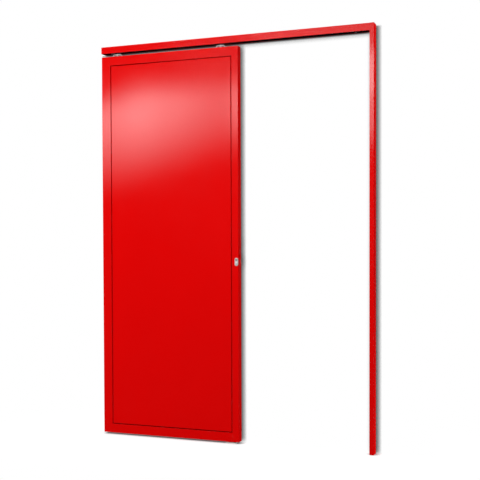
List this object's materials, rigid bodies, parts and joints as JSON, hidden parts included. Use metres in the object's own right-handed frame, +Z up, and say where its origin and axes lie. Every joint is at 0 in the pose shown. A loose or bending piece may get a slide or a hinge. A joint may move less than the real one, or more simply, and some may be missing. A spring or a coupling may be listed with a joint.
{
  "type": "sliding door with frame",
  "caption": "Red framed sliding door leaf hung on trolleys from a boxed top track, with a slim strike post, a flush panel in a shadow groove and a hook lock.",
  "frame": {"origin": "on the floor, at the middle of the frame's length and the leaf's mid-plane", "axes": "+Z up, +X along the track from the open leaf towards the strike post, -Y towards the front"},
  "size_m": [1.516, 0.054, 2.128],
  "materials": {
    "red_paint": "gloss powder coat",
    "red_panel": "gloss powder coat",
    "black_coat": "matt",
    "black_rubber": "matt",
    "zinc_steel": "zinc plated",
    "bright_steel": "bright",
    "cast_aluminium": "as cast",
    "black_plastic": "moulded",
    "white_nylon": "moulded",
    "wheel_nylon": "turned",
    "chrome": "polished",
    "nickel": "satin nickel"
  },
  "bodies": {
    "frame": {"track_hood": "red_paint", "running_track": "black_coat", "track_end_cap": "red_paint", "strike_post": "red_paint", "post_top_cap": "red_paint", "post_foot": "red_paint", "strike_plate": "zinc_steel", "closing_seal": "black_rubber", "end_stop_left": "zinc_steel", "end_stop_right": "zinc_steel", "stop_buffer_left": "black_rubber", "stop_buffer_right": "black_rubber", "floor_guide": "white_nylon"},
    "leaf": {"stile_left": "red_paint", "stile_right": "red_paint", "rail_top": "red_paint", "rail_bottom": "red_paint", "rail_spigots": "cast_aluminium", "stile_caps": "black_plastic", "panel": "red_panel", "panel_gasket": "black_rubber", "hanger_backing_plates": "zinc_steel", "hanger_bracket_left": "zinc_steel", "hanger_bracket_right": "zinc_steel", "hanger_bolts": "bright_steel", "hanger_nuts": "bright_steel", "trolley_left": "black_coat", "trolley_right": "black_coat", "lock_case": "zinc_steel", "lock_faceplate": "red_paint", "hook_pivot_pin": "bright_steel", "cylinder_body": "nickel", "escutcheon_front": "chrome", "escutcheon_back": "chrome"},
    "wheelset_left": {"axle_left": "bright_steel", "wheel_left_front": "wheel_nylon", "wheel_left_back": "wheel_nylon"},
    "wheelset_right": {"axle_right": "bright_steel", "wheel_right_front": "wheel_nylon", "wheel_right_back": "wheel_nylon"},
    "plug_front": {"plug_front": "nickel", "lock_cam": "nickel"},
    "plug_back": {"plug_back": "nickel"},
    "hook": {"hook_bolt": "bright_steel"}
  },
  "joints": [
    {"name": "leaf_slide", "type": "slide", "parent": "frame", "child": "leaf", "axis": [1, 0, 0], "range_m": [0, 0.6885]},
    {"name": "wheel_spin_left", "type": "hinge", "parent": "leaf", "child": "wheelset_left", "pos_m": [-0.669, 0, 2.1053], "axis": [0, 1, 0], "continuous": true},
    {"name": "wheel_spin_right", "type": "hinge", "parent": "leaf", "child": "wheelset_right", "pos_m": [-0.06, 0, 2.1053], "axis": [0, 1, 0], "continuous": true},
    {"name": "key_turn_front", "type": "hinge", "parent": "leaf", "child": "plug_front", "pos_m": [0.032, 0, 0.964], "axis": [0, 1, 0], "range_deg": [0, 360]},
    {"name": "hook_swing", "type": "hinge", "parent": "leaf", "child": "hook", "pos_m": [0.029, 0, 1.019], "axis": [0, -1, 0], "range_deg": [0, 90]},
    {"name": "key_turn_back", "type": "hinge", "parent": "leaf", "child": "plug_back", "pos_m": [0.032, 0, 0.964], "axis": [0, -1, 0], "continuous": true}
  ],
  "couplings": [
    {"joint": "wheel_spin_left", "follows": "leaf_slide", "rad_per_m": 90.909},
    {"joint": "wheel_spin_right", "follows": "leaf_slide", "rad_per_m": 90.909},
    {"joint": "hook_swing", "follows": "key_turn_front", "ratio": 0.25}
  ]
}
